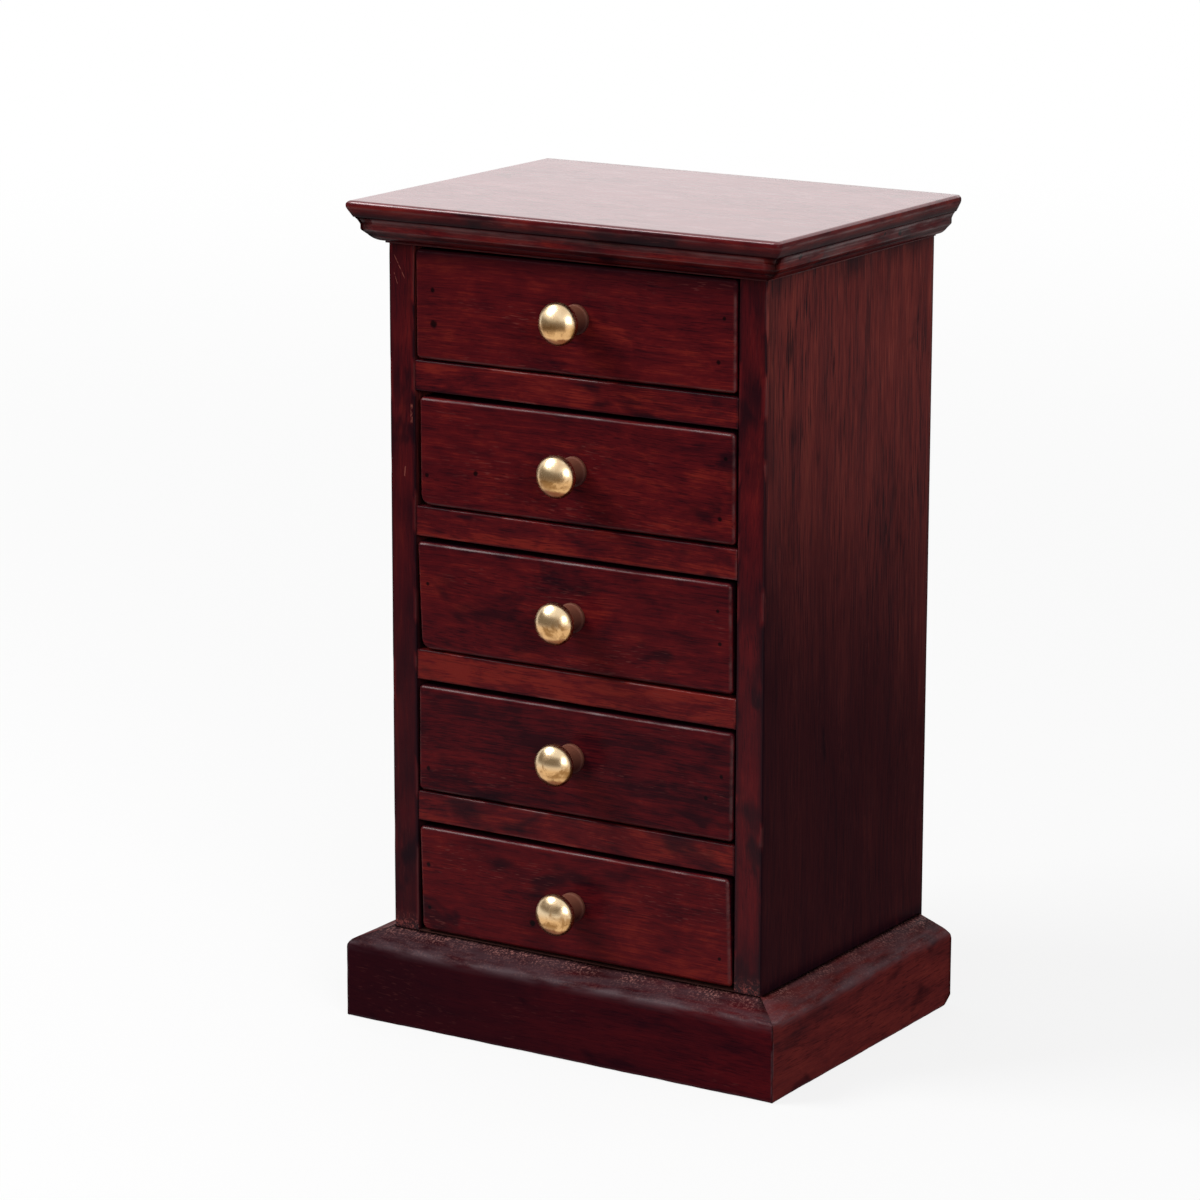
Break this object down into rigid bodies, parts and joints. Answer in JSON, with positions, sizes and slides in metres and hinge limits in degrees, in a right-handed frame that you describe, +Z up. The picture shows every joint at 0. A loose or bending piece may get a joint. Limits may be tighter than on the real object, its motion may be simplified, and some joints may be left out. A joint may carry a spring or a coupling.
{
  "type": "tabletop chest of drawers",
  "caption": "Small tabletop chest of drawers in dark red-brown stained hardwood, with a moulded cornice, a mitred plinth and a turned brass knob on each sliding drawer.",
  "frame": {"origin": "on the floor, in the middle of the chest's width and midway between the noses of the knobs and the back of the case", "axes": "+Z up; a viewer who faces the drawers looks along +Y and has +X to the right, so the drawers open towards -Y"},
  "size_m": [0.1826, 0.1372, 0.305],
  "materials": {
    "stained_wood": "red mahogany stain under a satin to semi-gloss lacquer",
    "plain_wood": "bare planed wood",
    "brass": "polished",
    "steel": "plain drawn wire and turned screws"
  },
  "bodies": {
    "case": {"left_side_panel": "stained_wood", "right_side_panel": "stained_wood", "bottom_board": "plain_wood", "case_top_board": "plain_wood", "top_board": "stained_wood", "cornice_front": "stained_wood", "cornice_left": "stained_wood", "cornice_right": "stained_wood", "plinth_front": "stained_wood", "plinth_left": "stained_wood", "plinth_right": "stained_wood", "back_panel": "stained_wood", "divider_rail_1": "stained_wood", "divider_rail_2": "stained_wood", "divider_rail_3": "stained_wood", "divider_rail_4": "stained_wood", "drawer_runners": "plain_wood", "runner_pins": "steel", "moulding_pins": "steel", "back_panel_pins": "steel"},
    "drawer_1": {"drawer_1_front": "stained_wood", "drawer_1_left_side": "plain_wood", "drawer_1_right_side": "plain_wood", "drawer_1_back": "plain_wood", "drawer_1_bottom": "plain_wood", "drawer_1_knob": "brass", "drawer_1_knob_screw": "steel", "drawer_1_pins": "steel"},
    "drawer_2": {"drawer_2_front": "stained_wood", "drawer_2_left_side": "plain_wood", "drawer_2_right_side": "plain_wood", "drawer_2_back": "plain_wood", "drawer_2_bottom": "plain_wood", "drawer_2_knob": "brass", "drawer_2_knob_screw": "steel", "drawer_2_pins": "steel"},
    "drawer_3": {"drawer_3_front": "stained_wood", "drawer_3_left_side": "plain_wood", "drawer_3_right_side": "plain_wood", "drawer_3_back": "plain_wood", "drawer_3_bottom": "plain_wood", "drawer_3_knob": "brass", "drawer_3_knob_screw": "steel", "drawer_3_pins": "steel"},
    "drawer_4": {"drawer_4_front": "stained_wood", "drawer_4_left_side": "plain_wood", "drawer_4_right_side": "plain_wood", "drawer_4_back": "plain_wood", "drawer_4_bottom": "plain_wood", "drawer_4_knob": "brass", "drawer_4_knob_screw": "steel", "drawer_4_pins": "steel"},
    "drawer_5": {"drawer_5_front": "stained_wood", "drawer_5_left_side": "plain_wood", "drawer_5_right_side": "plain_wood", "drawer_5_back": "plain_wood", "drawer_5_bottom": "plain_wood", "drawer_5_knob": "brass", "drawer_5_knob_screw": "steel", "drawer_5_pins": "steel"}
  },
  "joints": [
    {"name": "drawer_1_slide", "type": "slide", "parent": "case", "child": "drawer_1", "axis": [0, -1, 0], "range_m": [0, 0.085]},
    {"name": "drawer_2_slide", "type": "slide", "parent": "case", "child": "drawer_2", "axis": [0, -1, 0], "range_m": [0, 0.085]},
    {"name": "drawer_3_slide", "type": "slide", "parent": "case", "child": "drawer_3", "axis": [0, -1, 0], "range_m": [0, 0.085]},
    {"name": "drawer_4_slide", "type": "slide", "parent": "case", "child": "drawer_4", "axis": [0, -1, 0], "range_m": [0, 0.085]},
    {"name": "drawer_5_slide", "type": "slide", "parent": "case", "child": "drawer_5", "axis": [0, -1, 0], "range_m": [0, 0.085]}
  ]
}
